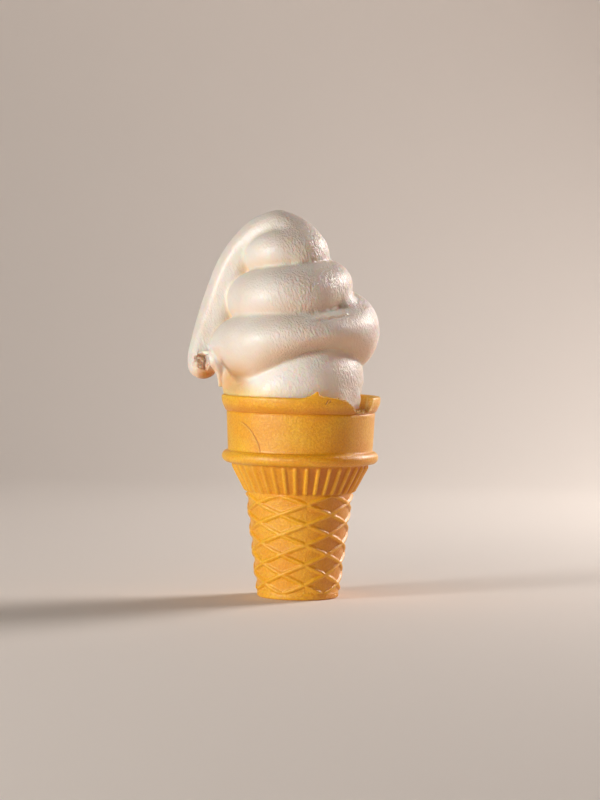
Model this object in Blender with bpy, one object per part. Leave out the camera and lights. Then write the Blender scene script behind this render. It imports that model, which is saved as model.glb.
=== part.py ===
# Soft serve swirl in a moulded wafer cup, standing on its flat foot.
# Two solids: the hollow wafer cup and the one rope of ice cream that fills it.
# Metres, +Z up, origin at the centre of the foot's underside, -Y is the front.
# Azimuths go from the front (-Y) towards the right (+X), in degrees.
import math

import bmesh
import bpy
import numpy as np

MM = 0.001

# Wafer cup, millimetres
FOOT_RADIUS = 15.4
FOOT_HEIGHT = 2.2
FOOT_EDGE = 0.8
LATTICE_BASE = 14.85
LATTICE_TAPER = 0.1212
LATTICE_TOP = 38.6
RIB_HEIGHT = 0.55
RIB_COLUMNS = 36
RIB_PITCH = 7.57
RIB_PITCH_ROWS = 6
RIB_NODE_LEVEL = 5.85
RIB_AZIMUTH = 8.2
RIDGE_AZIMUTH = 6.1
SHOULDER_RADIUS = 19.9
SHOULDER_TOP = 50.7
RIDGE_TOP_RADIUS = 26.2
RIDGE_DEPTH = 0.9
# Rows of the flutes: share of the shoulder's height, rise of the ridge, share of the depth
FLUTE_ROWS = ((0.0, -0.35, 0.0), (0.07, 0.03, 0.8), (0.5, 0.0, 1.0), (0.92, 0.0, 0.8))
BEAD_RADIUS = 2.35
BEAD_CENTRE = 27.2
BEAD_LEVEL = 53.1
BEAD_ROWS = 5
BAND_FOOT_RADIUS = 27.35
BAND_FOOT = 55.6
BAND_TOP_RADIUS = 28.1
BAND_TOP = 70.1
LIP_FOOT = 70.25
RIM_RADIUS = 30.0
RIM_HEIGHT = 76.3
FLOOR = 2.2

# Lip outside, as radius and share of the lip's height
LIP_PROFILE = ((28.4, 0.0), (28.85, 0.15), (29.65, 0.42), (RIM_RADIUS, 0.8), (29.6, 0.98))
# Inner wall, as radius and level, from the lip down to the floor
INNER_WALL = ((26.6, 71.2), (25.7, 68.0), (25.3, 56.0), (24.4, 51.0), (17.2, 38.4), (13.4, 3.0), (13.0, FLOOR))
LIP_INSIDE_RADIUS = 27.6

# Broken stretch of the lip, azimuths in degrees and levels in millimetres
BREAK_START = 14.0
BREAK_FLOOR_START = 43.0
BREAK_END = 62.0
BREAK_OUTSIDE = 70.6
BREAK_INSIDE = 72.6
BREAK_SLOPE = 2.6

# Rope of ice cream. The azimuth here runs on from the left side (-X) and
# counts counter-clockwise from above, one turn every 360 degrees.
# azimuth, reach from the leaning axis, level, half height, half width
ROPE = (
    (-90, 24.0, 60.0, 10.0, 10.0),
    (0, 24.6, 67.0, 11.0, 11.0),
    (90, 27.0, 80.0, 15.0, 12.0),
    (180, 26.7, 83.0, 14.5, 12.0),
    (270, 27.5, 86.5, 12.0, 12.0),
    (360, 31.7, 92.3, 13.4, 13.0),
    (425, 31.0, 96.6, 11.0, 12.0),
    (465, 30.4, 99.5, 7.7, 11.5),
    (500, 31.0, 100.8, 8.9, 12.0),
    (540, 31.7, 101.2, 14.3, 13.0),
    (630, 28.5, 106.0, 11.5, 12.0),
    (720, 23.6, 111.8, 10.6, 11.0),
    (810, 25.6, 113.2, 11.6, 12.0),
    (900, 23.1, 117.0, 9.4, 9.5),
    (990, 19.5, 121.5, 8.5, 9.0),
    (1080, 16.2, 128.0, 8.5, 9.0),
    (1170, 15.5, 130.0, 8.5, 9.0),
    (1260, 16.2, 131.0, 8.5, 9.0),
    (1350, 13.0, 133.0, 8.0, 8.0),
)
# Where the swirl's axis leans, as level and offset to the right
LEAN = ((60, -2.5), (84, -3.3), (97, -2.6), (113, -5.0), (130, -5.9), (140, -7.0))
ROPE_STEP = 6
ROPE_SIDES = 32

# Last end of the rope: over the top and down the left side. x, y, z, radius
TAIL = (
    (1.0, 2.0, 130.5, 9.2),
    (-1.5, 1.0, 134.0, 9.6),
    (-5.5, 0.5, 136.6, 9.0),
    (-10.5, 0.5, 137.4, 8.2),
    (-16.0, 2.5, 135.6, 7.4),
    (-21.0, 5.0, 131.3, 7.0),
    (-25.1, 6.8, 125.2, 7.1),
    (-28.6, 7.8, 117.2, 7.1),
    (-31.6, 7.8, 108.3, 7.0),
    (-34.6, 6.6, 99.3, 6.6),
    (-37.0, 4.2, 91.0, 6.0),
    (-37.3, 2.6, 87.2, 5.8),
)
TAIL_DEPTH = 0.85
TAIL_SIDES = 24
TAIL_STEP = 4

# Body behind the turns and the plug that fills the cup: centre x, radius, level
CORE = (
    (0.0, 14.5, 0.5),
    (0.0, 18.5, 37.0),
    (0.0, 26.0, 50.0),
    (0.0, 26.8, 62.0),
    (-4.4, 24.9, 77.0),
    (-4.0, 21.5, 88.0),
    (-3.0, 18.0, 104.0),
    (-5.0, 12.0, 118.0),
    (-6.0, 7.0, 130.0),
)
CORE_SIDES = 36
CUP_GAP = 0.4
CUTTER_RADIUS = 50.0
CUTTER_FOOT = -10.0

CREAM_VOXEL = 0.9
CREAM_TRIANGLES = 4350

WAFER_COLOUR = (0.72, 0.40, 0.10, 1.0)
CREAM_COLOUR = (0.86, 0.78, 0.66, 1.0)


def clear_scene():
    for item in list(bpy.data.objects):
        bpy.data.objects.remove(item, do_unlink=True)


def material(name, colour, roughness):
    made = bpy.data.materials.new(name)
    made.use_nodes = True
    shader = made.node_tree.nodes["Principled BSDF"]
    shader.inputs["Base Color"].default_value = colour
    shader.inputs["Roughness"].default_value = roughness
    shader.inputs["Metallic"].default_value = 0.0
    return made


def link_mesh(name, bm, finish):
    mesh = bpy.data.meshes.new(name)
    bm.to_mesh(mesh)
    bm.free()
    mesh.shade_smooth()
    item = bpy.data.objects.new(name, mesh)
    bpy.context.scene.collection.objects.link(item)
    if finish:
        mesh.materials.append(finish)
    return item


def smooth_curve(knots, values, at):
    """Read a smooth curve through uneven knots."""
    knots = np.asarray(knots, float)
    values = np.asarray(values, float)
    widths = np.diff(knots)
    slopes = np.diff(values) / widths
    tangents = np.empty_like(values)
    tangents[0] = slopes[0]
    tangents[-1] = slopes[-1]
    tangents[1:-1] = (slopes[:-1] * widths[1:] + slopes[1:] * widths[:-1]) / (widths[:-1] + widths[1:])
    left = np.clip(np.searchsorted(knots, at, side="right") - 1, 0, len(knots) - 2)
    t = (at - knots[left]) / widths[left]
    rise = (3 * t**2 - 2 * t**3)
    return (
        (1 - rise) * values[left]
        + rise * values[left + 1]
        + (t**3 - 2 * t**2 + t) * widths[left] * tangents[left]
        + (t**3 - t**2) * widths[left] * tangents[left + 1]
    )


# ---- wafer cup ----

def ring_points(count, first, radii, levels):
    """One ring of points, radii and levels being numbers or functions of the column."""
    points = []
    for column in range(count):
        azimuth = math.radians(first + 360.0 * column / count)
        radius = radii(column) if callable(radii) else radii
        level = levels(column) if callable(levels) else levels
        points.append((radius * math.sin(azimuth) * MM, -radius * math.cos(azimuth) * MM, level * MM))
    return points


def is_rib(row, column):
    return (row - column) % RIB_PITCH_ROWS == 0 or (row + column) % RIB_PITCH_ROWS == 0


def join_rings(bm, lower, upper, up_diagonal=None):
    """Join two rings of the same count, or a ring to one of twice its count."""
    count = len(lower)
    if len(upper) == 2 * count:
        for column in range(count):
            a = lower[column]
            b = lower[(column + 1) % count]
            p = upper[2 * column]
            q = upper[2 * column + 1]
            r = upper[(2 * column + 2) % len(upper)]
            bm.faces.new((a, q, p))
            bm.faces.new((a, b, q))
            bm.faces.new((b, r, q))
        return
    if 2 * len(upper) == count:
        for column in range(len(upper)):
            a = lower[2 * column]
            b = lower[2 * column + 1]
            c = lower[(2 * column + 2) % count]
            p = upper[column]
            q = upper[(column + 1) % len(upper)]
            bm.faces.new((a, b, p))
            bm.faces.new((b, q, p))
            bm.faces.new((b, c, q))
        return
    for column in range(count):
        after = (column + 1) % count
        a, b, c, d = lower[column], lower[after], upper[after], upper[column]
        if up_diagonal is None or up_diagonal(column):
            bm.faces.new((a, b, c))
            bm.faces.new((a, c, d))
        else:
            bm.faces.new((a, b, d))
            bm.faces.new((b, c, d))


def break_share(azimuth):
    """0 on the whole lip, 1 where the lip is broken off down to the band."""
    azimuth = (azimuth + 180.0) % 360.0 - 180.0
    if azimuth <= BREAK_START or azimuth >= BREAK_END:
        return 0.0
    return min(1.0, (azimuth - BREAK_START) / (BREAK_FLOOR_START - BREAK_START)) ** BREAK_SLOPE


def lip_level(azimuth, share):
    """Level of the lip's outside at a share of its height."""
    top = RIM_HEIGHT + (BREAK_OUTSIDE - RIM_HEIGHT) * break_share(azimuth)
    return LIP_FOOT + (top - LIP_FOOT) * share


def lip_inside(azimuth):
    return RIM_HEIGHT - 0.5 + (BREAK_INSIDE - RIM_HEIGHT + 0.5) * break_share(azimuth)


def lip_radius(level):
    full = RIM_HEIGHT - LIP_FOOT
    shares = [share for _, share in LIP_PROFILE]
    radii = [radius for radius, _ in LIP_PROFILE]
    return float(np.interp((level - LIP_FOOT) / full, shares, radii))


def wafer_rings():
    """Rings from the foot up the outside, over the lip and down the inside."""
    columns = RIB_COLUMNS
    fine = 2 * RIB_COLUMNS
    row_height = RIB_PITCH / RIB_PITCH_ROWS
    rings = []

    def add(count, first, radii, levels, up_diagonal=None):
        rings.append((ring_points(count, first, radii, levels), up_diagonal))

    def fine_azimuth(column):
        return RIDGE_AZIMUTH + 360.0 * column / fine

    add(columns, RIB_AZIMUTH, FOOT_RADIUS - FOOT_EDGE, 0.0)
    add(columns, RIB_AZIMUTH, FOOT_RADIUS - 0.25 * FOOT_EDGE, 0.35 * FOOT_EDGE)
    add(columns, RIB_AZIMUTH, FOOT_RADIUS, FOOT_EDGE)
    add(columns, RIB_AZIMUTH, FOOT_RADIUS, FOOT_HEIGHT)
    add(columns, RIB_AZIMUTH, LATTICE_BASE + LATTICE_TAPER * FOOT_HEIGHT, FOOT_HEIGHT + 0.3)

    first_row = math.ceil((FOOT_HEIGHT + 0.6 - RIB_NODE_LEVEL) / row_height)
    last_row = math.floor((LATTICE_TOP - 0.3 - RIB_NODE_LEVEL) / row_height)
    for row in range(first_row, last_row + 1):
        level = RIB_NODE_LEVEL + row * row_height
        base = LATTICE_BASE + LATTICE_TAPER * level

        def rib_radius(column, row=row, base=base):
            return base + (RIB_HEIGHT if is_rib(row, column) else 0.0)

        def along_rib(column, row=row):
            return is_rib(row - 1, column) and is_rib(row, column + 1)

        add(columns, RIB_AZIMUTH, rib_radius, level, along_rib)

    # Fluted shoulder: even columns are ridges, odd ones are grooves
    for share, rise, depth in FLUTE_ROWS:
        level = LATTICE_TOP + share * (SHOULDER_TOP - LATTICE_TOP)
        ridge = SHOULDER_RADIUS + share * (RIDGE_TOP_RADIUS - SHOULDER_RADIUS) + rise

        def flute_radius(column, ridge=ridge, depth=depth):
            return ridge - (RIDGE_DEPTH * depth if column % 2 else 0.0)

        add(fine, RIDGE_AZIMUTH, flute_radius, level)
    add(fine, RIDGE_AZIMUTH, RIDGE_TOP_RADIUS, SHOULDER_TOP)

    for step in range(BEAD_ROWS):
        turn = math.radians(-88.0 + 174.0 * step / (BEAD_ROWS - 1))
        radius = BEAD_CENTRE + BEAD_RADIUS * math.cos(turn)
        add(fine, RIDGE_AZIMUTH, radius, BEAD_LEVEL + BEAD_RADIUS * math.sin(turn))
    add(fine, RIDGE_AZIMUTH, BAND_FOOT_RADIUS, BAND_FOOT)
    add(fine, RIDGE_AZIMUTH, BAND_TOP_RADIUS, BAND_TOP)

    # Lip, lowered where it is broken
    for _, share in LIP_PROFILE:
        add(
            fine,
            RIDGE_AZIMUTH,
            lambda column, share=share: lip_radius(lip_level(fine_azimuth(column), share)),
            lambda column, share=share: lip_level(fine_azimuth(column), share),
        )
    add(
        fine,
        RIDGE_AZIMUTH,
        lambda column: 28.6 - 1.0 * break_share(fine_azimuth(column)),
        lambda column: 0.35 * lip_inside(fine_azimuth(column)) + 0.65 * (lip_level(fine_azimuth(column), 1.0) + 0.1),
    )
    add(
        fine,
        RIDGE_AZIMUTH,
        lambda column: LIP_INSIDE_RADIUS - 0.75 * break_share(fine_azimuth(column)),
        lambda column: lip_inside(fine_azimuth(column)),
    )
    for radius, level in INNER_WALL:
        add(columns, RIB_AZIMUTH, radius, level)
    return rings


def build_wafer(finish):
    bm = bmesh.new()
    rings = []
    for points, up_diagonal in wafer_rings():
        rings.append(([bm.verts.new(point) for point in points], up_diagonal))
    bm.faces.new(rings[0][0][::-1])
    for (lower, _), (upper, up_diagonal) in zip(rings, rings[1:]):
        join_rings(bm, lower, upper, up_diagonal)
    bm.faces.new(rings[-1][0])
    bmesh.ops.recalc_face_normals(bm, faces=bm.faces)
    item = link_mesh("wafer_cone", bm, finish)
    item.data.set_sharp_from_angle(angle=math.radians(35.0))
    return item


# ---- ice cream ----

def lean_at(level):
    return np.interp(level, [z for z, _ in LEAN], [x for _, x in LEAN])


def add_tube(bm, rings):
    """Close a row of rings into one tube with flat ends."""
    made = [[bm.verts.new(point) for point in ring] for ring in rings]
    for near, far in zip(made, made[1:]):
        for side in range(len(near)):
            after = (side + 1) % len(near)
            bm.faces.new((near[side], near[after], far[after], far[side]))
    bm.faces.new(made[0][::-1])
    bm.faces.new(made[-1])


def rope_rings():
    table = np.array(ROPE, float)
    azimuths = np.arange(table[0, 0], table[-1, 0] + 0.5, ROPE_STEP)
    reach, level, half, width = [smooth_curve(table[:, 0], table[:, k], azimuths) for k in (1, 2, 3, 4)]
    around = np.linspace(0, 2 * math.pi, ROPE_SIDES, endpoint=False)
    rings = []
    for k, azimuth in enumerate(azimuths):
        turn = math.radians(180.0 + azimuth)
        radius = reach[k] - width[k] + width[k] * np.cos(around)
        height = level[k] + half[k] * np.sin(around)
        x = lean_at(level[k]) + radius * math.cos(turn)
        y = radius * math.sin(turn)
        rings.append(np.stack([x, y, height], 1) * MM)
    return rings


def tail_rings():
    table = np.array(TAIL, float)
    knots = np.arange(len(table))
    at = np.linspace(0, len(table) - 1, (len(table) - 1) * TAIL_STEP + 1)
    path = np.stack([smooth_curve(knots, table[:, k], at) for k in (0, 1, 2)], 1)
    radii = smooth_curve(knots, table[:, 3], at)
    ahead = path[-1] - path[-2]
    ahead /= np.linalg.norm(ahead)
    for turn in np.linspace(0.2, 1.45, 5):
        path = np.vstack([path, path[len(at) - 1] + ahead * radii[len(at) - 1] * math.sin(turn)])
        radii = np.append(radii, radii[len(at) - 1] * math.cos(turn))
    tangents = np.gradient(path, axis=0)
    tangents /= np.linalg.norm(tangents, axis=1)[:, None]
    around = np.linspace(0, 2 * math.pi, TAIL_SIDES, endpoint=False)
    rings = []
    for point, tangent, radius in zip(path, tangents, radii):
        depth = np.array((0.0, 1.0, 0.0)) - tangent[1] * tangent
        depth /= np.linalg.norm(depth)
        side = np.cross(depth, tangent)
        across = np.cos(around)[:, None] * side + TAIL_DEPTH * np.sin(around)[:, None] * depth
        rings.append((point + radius * across) * MM)
    return rings


def core_rings():
    around = np.linspace(0, 2 * math.pi, CORE_SIDES, endpoint=False)
    rings = []
    for centre, radius, level in CORE:
        x = centre + radius * np.cos(around)
        y = radius * np.sin(around)
        rings.append(np.stack([x, y, np.full(CORE_SIDES, level)], 1) * MM)
    return rings


def build_cup_cutter():
    """Everything outside the cup's hollow, grown by the gap, up to just over the rim."""
    outline = [(CUTTER_RADIUS, CUTTER_FOOT), (CUTTER_RADIUS, RIM_HEIGHT + CUP_GAP)]
    outline.append((LIP_INSIDE_RADIUS - CUP_GAP, RIM_HEIGHT + CUP_GAP))
    outline += [(radius - CUP_GAP, level) for radius, level in INNER_WALL[:-1]]
    outline.append((INNER_WALL[-1][0] - CUP_GAP, FLOOR + CUP_GAP))
    bm = bmesh.new()
    rings = []
    for radius, level in outline:
        rings.append([bm.verts.new(point) for point in ring_points(RIB_COLUMNS, RIB_AZIMUTH, radius, level)])
    bm.faces.new(rings[0][::-1])
    for lower, upper in zip(rings, rings[1:]):
        join_rings(bm, lower, upper)
    bm.faces.new(rings[-1])
    bmesh.ops.recalc_face_normals(bm, faces=bm.faces)
    cutter = link_mesh("cup_cutter", bm, None)
    cutter.hide_render = True
    cutter.display_type = "WIRE"
    return cutter


def build_cream(finish):
    bm = bmesh.new()
    for rings in (rope_rings(), tail_rings(), core_rings()):
        add_tube(bm, rings)
    bmesh.ops.recalc_face_normals(bm, faces=bm.faces)
    item = link_mesh("soft_serve", bm, finish)

    fuse = item.modifiers.new("fuse", "REMESH")
    fuse.mode = "VOXEL"
    fuse.voxel_size = CREAM_VOXEL * MM
    soften = item.modifiers.new("soften", "SMOOTH")
    soften.factor = 0.5
    soften.iterations = 3
    bpy.context.view_layer.update()
    graph = bpy.context.evaluated_depsgraph_get()
    fused = item.evaluated_get(graph).to_mesh()
    triangles = sum(len(face.vertices) - 2 for face in fused.polygons)
    thin = item.modifiers.new("thin", "DECIMATE")
    thin.ratio = CREAM_TRIANGLES / triangles
    thin.use_collapse_triangulate = True
    cut = item.modifiers.new("cup", "BOOLEAN")
    cut.operation = "DIFFERENCE"
    cut.solver = "EXACT"
    cut.object = build_cup_cutter()
    return item


clear_scene()
build_wafer(material("wafer", WAFER_COLOUR, 0.6))
build_cream(material("soft_serve", CREAM_COLOUR, 0.35))
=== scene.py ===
import math

import bmesh
import bpy
import numpy as np
from mathutils import Matrix, Vector
from mathutils import noise as noiseAt


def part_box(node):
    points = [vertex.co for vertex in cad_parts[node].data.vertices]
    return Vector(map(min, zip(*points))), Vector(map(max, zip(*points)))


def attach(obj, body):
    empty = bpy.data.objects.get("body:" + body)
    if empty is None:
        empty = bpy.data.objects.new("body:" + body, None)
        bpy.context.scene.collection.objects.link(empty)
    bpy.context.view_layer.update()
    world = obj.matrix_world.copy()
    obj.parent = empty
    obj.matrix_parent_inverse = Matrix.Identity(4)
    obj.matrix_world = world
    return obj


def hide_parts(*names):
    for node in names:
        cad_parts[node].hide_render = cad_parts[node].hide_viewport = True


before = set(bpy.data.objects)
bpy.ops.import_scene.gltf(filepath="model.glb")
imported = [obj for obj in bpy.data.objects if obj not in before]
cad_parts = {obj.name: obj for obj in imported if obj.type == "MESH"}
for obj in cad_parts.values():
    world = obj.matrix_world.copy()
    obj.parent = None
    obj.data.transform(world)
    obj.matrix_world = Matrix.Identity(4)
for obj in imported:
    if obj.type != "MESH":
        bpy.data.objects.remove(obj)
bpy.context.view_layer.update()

mm = 0.001
cupLow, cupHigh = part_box("wafer_cone")
creamLow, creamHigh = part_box("soft_serve")


# A socket that can be calculated with: an expression adds its Math nodes to the tree
class Wire:
    def __init__(self, tree, socket=None):
        self.tree = tree
        self.socket = socket

    # any node: its type, its settings, then the values or links of its sockets
    def node(self, kind, settings=None, values=None, output=0):
        made = self.tree.nodes.new(kind)
        for name, value in (settings or {}).items():
            if name == "stops":
                ramp = made.color_ramp
                while len(ramp.elements) < len(value):
                    ramp.elements.new(0.5)
                for element, (position, colour) in zip(ramp.elements, value):
                    element.position = position
                    element.color = colour
            else:
                setattr(made, name, value)
        for name, value in (values or {}).items():
            if isinstance(value, Wire):
                self.tree.links.new(value.socket, made.inputs[name])
            else:
                made.inputs[name].default_value = value
        return Wire(self.tree, made.outputs[output])

    def math(self, operation, *values):
        return self.node("ShaderNodeMath", {"operation": operation}, dict(enumerate(values)))

    def __add__(self, other):
        return self.math("ADD", self, other)

    def __radd__(self, other):
        return self.math("ADD", other, self)

    def __sub__(self, other):
        return self.math("SUBTRACT", self, other)

    def __rsub__(self, other):
        return self.math("SUBTRACT", other, self)

    def __mul__(self, other):
        return self.math("MULTIPLY", self, other)

    def __rmul__(self, other):
        return self.math("MULTIPLY", other, self)

    def __truediv__(self, other):
        return self.math("DIVIDE", self, other)

    def step(self, low, high, first=0.0, last=1.0):
        # smooth step from first, at low, to last, at high
        values = {"Value": self, "From Min": low, "From Max": high, "To Min": first, "To Max": last}
        return self.node("ShaderNodeMapRange", {"interpolation_type": "SMOOTHSTEP"}, values)

    def wave(self):
        # 0 at whole numbers, 0.5 half way between them
        return (self.math("FRACT", self + 0.5) - 0.5).math("ABSOLUTE", self.math("FRACT", self + 0.5) - 0.5)


def noise(wire, vector, scale, detail=2.0, roughness=0.5):
    values = {"Vector": vector, "Scale": scale, "Detail": detail, "Roughness": roughness}
    return wire.node("ShaderNodeTexNoise", {"noise_dimensions": "3D"}, values)


def mixColour(wire, factor, first, second):
    values = {0: factor, 6: first, 7: second}
    return wire.node("ShaderNodeMix", {"data_type": "RGBA"}, values, output=2)


def evaluated(item):
    # the plain mesh of an object as its modifiers leave it
    bpy.context.view_layer.update()
    graph = bpy.context.evaluated_depsgraph_get()
    return bpy.data.meshes.new_from_object(item.evaluated_get(graph), depsgraph=graph)


def addObject(name, mesh):
    item = bpy.data.objects.new(name, mesh)
    bpy.context.scene.collection.objects.link(item)
    return item


def meshOf(name, points, faces):
    mesh = bpy.data.meshes.new(name)
    mesh.from_pydata([tuple(point) for point in points], [], faces)
    mesh.update()
    return mesh


def newTree(name, inputs):
    # a Geometry Nodes tree with named inputs, given back with its wires
    tree = bpy.data.node_groups.new(name, "GeometryNodeTree")
    tree.interface.new_socket(name="Geometry", in_out="OUTPUT", socket_type="NodeSocketGeometry")
    tree.interface.new_socket(name="Geometry", in_out="INPUT", socket_type="NodeSocketGeometry")
    for label in inputs:
        kind = "NodeSocketMaterial" if label == "finish" else "NodeSocketFloat"
        tree.interface.new_socket(name=label, in_out="INPUT", socket_type=kind)
    entry = tree.nodes.new("NodeGroupInput")
    wires = {label: Wire(tree, entry.outputs[label]) for label in ["Geometry"] + list(inputs)}
    return tree, wires


def closeTree(tree, geometry, finish):
    # every tree ends in real geometry with its material
    real = geometry.node("GeometryNodeRealizeInstances", {}, {"Geometry": geometry})
    dressed = real.node("GeometryNodeSetMaterial", {}, {"Geometry": real, "Material": finish})
    leave = tree.nodes.new("NodeGroupOutput")
    tree.links.new(dressed.socket, leave.inputs["Geometry"])


def runTree(name, mesh, tree, values):
    # run a tree over a mesh and keep the result as a plain mesh object
    item = addObject(name, mesh)
    modifier = item.modifiers.new("relief", "NODES")
    modifier.node_group = tree
    for socket in tree.interface.items_tree:
        if socket.item_type == "SOCKET" and socket.in_out == "INPUT" and socket.name in values:
            modifier[socket.identifier] = values[socket.name]
    made = evaluated(item)
    item.modifiers.clear()
    item.data = made
    return item


def smoothCurve(knots, values, at):
    # a smooth curve through uneven knots
    knots, values = np.asarray(knots, float), np.asarray(values, float)
    widths = np.diff(knots)
    slopes = np.diff(values) / widths
    tangents = np.empty_like(values)
    tangents[0], tangents[-1] = slopes[0], slopes[-1]
    tangents[1:-1] = (slopes[:-1] * widths[1:] + slopes[1:] * widths[:-1]) / (widths[:-1] + widths[1:])
    left = np.clip(np.searchsorted(knots, at, side="right") - 1, 0, len(knots) - 2)
    t = (at - knots[left]) / widths[left]
    rise = 3 * t**2 - 2 * t**3
    bend = (t**3 - 2 * t**2 + t) * tangents[left] + (t**3 - t**2) * tangents[left + 1]
    return (1 - rise) * values[left] + rise * values[left + 1] + widths[left] * bend


view = {
    "distance": 970.0,
    "eyeHeight": 113.3,
    "lens": 115.65,
    "pitch": 2.32,
    "roll": 1.0,
    "shift": 1.0 / 800,
    "floorSize": 4.0,
    "floorColour": (0.80, 0.74, 0.68, 1.0),
}


def makeCamera():
    camera = bpy.data.cameras.new("camera")
    camera.lens = view["lens"]
    camera.sensor_width = 36.0
    camera.clip_start = 0.01
    camera.shift_x = -view["shift"]
    camera.shift_y = view["shift"]
    item = addObject("camera", camera)
    place = Matrix.Translation((0.0, -view["distance"] * mm, view["eyeHeight"] * mm))
    aim = Matrix.Rotation(math.radians(90.0 - view["pitch"]), 4, "X")
    item.matrix_world = place @ aim @ Matrix.Rotation(math.radians(view["roll"]), 4, "Z")
    bpy.context.scene.camera = item


studio = {
    # name: azimuth from the front towards the right, elevation, distance, size, power, colour
    "keyLight": (-55.0, 9.0, 1.15, 0.28, 9.4, (1.0, 0.99, 0.98)),
    "softLight": (-28.0, 12.0, 1.15, 0.60, 2.5, (1.0, 0.90, 0.78)),
    "rimLight": (125.0, 24.0, 0.95, 0.36, 9.5, (1.0, 0.94, 0.91)),
    "topLight": (-15.0, 78.0, 1.40, 0.70, 0.2, (1.0, 0.98, 0.95)),
    "warmFill": (56.0, -3.0, 1.60, 1.00, 4.2, (1.0, 0.26, 0.09)),
    "backLight": (180.0, 30.0, 1.9, 0.9, 4.4, (1.0, 0.99, 0.97)),
    "target": (0.0, 0.0, 0.085),
    "worldColour": (0.006, 0.0045, 0.004, 1.0),
}


def makeLights():
    target = Vector(studio["target"])
    for name in ("keyLight", "softLight", "rimLight", "topLight", "warmFill", "backLight"):
        azimuth, elevation, distance, size, power, colour = studio[name]
        light = bpy.data.lights.new(name, "AREA")
        light.shape = "DISK"
        light.size = size
        light.energy = power
        light.color = colour
        turn, lift = math.radians(azimuth), math.radians(elevation)
        away = Vector((math.sin(turn) * math.cos(lift), -math.cos(turn) * math.cos(lift), math.sin(lift)))
        item = addObject(name, light)
        item.location = target + away * distance
        aim = Vector((0.0, 1.6, 0.2)) if name == "backLight" else target
        item.rotation_euler = (aim - item.location).to_track_quat("-Z", "Y").to_euler()
    world = bpy.data.worlds.new("studio")
    bpy.context.scene.world = world
    world.use_nodes = True
    world.node_tree.nodes["Background"].inputs["Color"].default_value = studio["worldColour"]
    bpy.context.scene.view_settings.view_transform = "Standard"


def makeFloor():
    # a pale sweep: flat under the cup, curving up far behind it
    half = view["floorSize"] / 2
    points, faces = [], []
    profile = [(-half, 0.0), (0.6, 0.0)]
    profile += [(0.6 + 0.5 * math.sin(t), 0.5 - 0.5 * math.cos(t)) for t in np.linspace(0.1, math.pi / 2, 12)]
    profile += [(1.1, half)]
    for y, z in profile:
        points += [(-half, y, z), (half, y, z)]
    for k in range(len(profile) - 1):
        faces.append((2 * k, 2 * k + 1, 2 * k + 3, 2 * k + 2))
    floor = addObject("floor", meshOf("floor", points, faces))
    floor.data.shade_smooth()
    finish = bpy.data.materials.new("floorPaper")
    finish.use_nodes = True
    shader = finish.node_tree.nodes["Principled BSDF"]
    shader.inputs["Base Color"].default_value = view["floorColour"]
    shader.inputs["Roughness"].default_value = 0.8
    floor.data.materials.append(finish)


makeCamera()
makeFloor()
makeLights()
print("camera, lights and floor made")


wafer = {
    "footRadius": 15.4,
    "footHeight": 2.2,
    "footRound": 0.8,
    "latticeRadius": 14.85,     # at the floor, widening by the taper
    "latticeTaper": 0.1212,
    "latticeTop": 39.3,
    "ribHeight": 0.82,
    "ribCrest": 0.26,           # half the flat of a rib's crest
    "ribSide": 1.02,            # from a rib's middle to its foot
    "ribPitch": 7.57,
    "ribNode": 5.85,
    "ribAzimuth": 8.2,
    "ribStep": 30.0,            # between the columns of nodes
    "ridgeCount": 36.0,
    "ridgeAzimuth": 6.1,
    "ridgeHeight": 1.15,
    "ridgeCrest": 0.32,
    "ridgeSide": 1.05,
    "shoulderRadius": 19.35,
    "shoulderTop": 50.7,
    "shoulderTopRadius": 25.3,
    "beadRadius": 2.35,
    "beadCentre": 27.2,
    "beadLevel": 53.1,
    "bandFoot": (27.35, 55.6),
    "bandTop": (28.05, 69.85),
    "rimRadius": 30.0,
    "rimHeight": 76.3,
    "lipProfile": ((28.42, 70.4), (28.85, 71.3), (29.6, 72.9), (29.93, 74.2), (30.0, 75.5)),
    "insideProfile": ((27.6, 75.7), (26.6, 71.2), (25.7, 68.0), (25.3, 56.0), (24.4, 51.0), (17.2, 38.4),
                      (13.4, 3.0), (13.0, 2.2)),
    "breakStart": 26.0,
    "breakEnd": 62.0,
    "lipBreak": ((0.0, 76.3), (3.0, 76.5), (6.7, 77.1), (9.8, 78.0), (11.6, 78.8), (12.6, 78.5), (13.4, 77.4),
                 (14.4, 77.4), (16.7, 76.9), (19.0, 76.8), (22.3, 76.5), (28.0, 76.1), (31.0, 75.8), (33.0, 75.3),
                 (35.5, 74.7), (38.0, 73.9), (40.0, 73.1), (42.5, 71.9), (44.5, 71.0), (46.5, 70.6), (50.0, 70.5),
                 (58.0, 70.45), (62.0, 70.6)),
    "columnStep": 1.0,
    "fineStep": 0.5,
    "hairRadius": 27.9,         # the band's radius, and the hair line's middle along and up it, and its radius
    "hairMiddle": (-30.0, 53.0),
    "hairSize": 14.3,
    "nickAcross": 9.4,
    "baked": (0.88, 0.408, 0.010, 1.0),
    "golden": (0.93, 0.52, 0.026, 1.0),
    "toasted": (0.88, 0.350, 0.006, 1.0),
    "brown": (0.62, 0.19, 0.006, 1.0),
    "pale": (0.95, 0.63, 0.16, 1.0),
    "crumb": (1.0, 0.64, 0.20, 1.0),
}


def lipRadius(level):
    radii = [wafer["bandTop"][0]] + [radius for radius, _ in wafer["lipProfile"]]
    levels = [wafer["bandTop"][1]] + [height for _, height in wafer["lipProfile"]]
    return np.interp(level, levels, radii)


def insideRadius(level):
    radii = [radius for radius, _ in wafer["insideProfile"]][::-1]
    levels = [height for _, height in wafer["insideProfile"]][::-1]
    return np.interp(level, levels, radii)


def ripple(seed, count, at, low, high):
    # a few sine waves of random phase, from low to high waves per unit
    draw = np.random.default_rng(seed)
    total = np.zeros_like(np.asarray(at, float))
    for rate in np.geomspace(low, high, count):
        total += np.sin(2 * math.pi * (rate * at + draw.random())) * (low / rate) ** 0.6
    return total / count


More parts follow.
